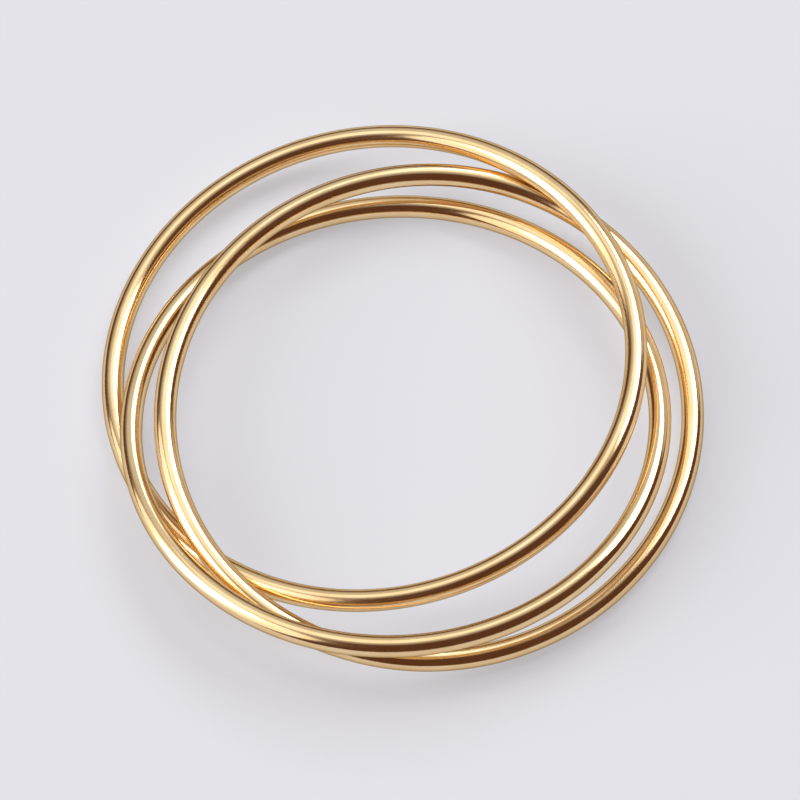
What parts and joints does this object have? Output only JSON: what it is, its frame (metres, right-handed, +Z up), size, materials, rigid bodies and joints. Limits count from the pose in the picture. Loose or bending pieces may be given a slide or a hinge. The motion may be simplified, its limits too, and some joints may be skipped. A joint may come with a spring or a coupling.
{
  "type": "interlinked band ring",
  "caption": "Finger ring of slim, equal round-wire bands that pass through one another and roll together, lying flat.",
  "frame": {"origin": "on the surface the ring lies on, under the middle of its outline", "axes": "+Z up, along the finger hole; +X to the viewer's right in the picture; +Y away from the viewer"},
  "size_m": [0.0212, 0.0222, 0.0033],
  "materials": {
    "polished_gold": "polished pale yellow gold over jeweller's brass"
  },
  "bodies": {
    "root": {"back_band": "polished_gold", "front_band": "polished_gold", "right_band": "polished_gold"}
  },
  "joints": []
}
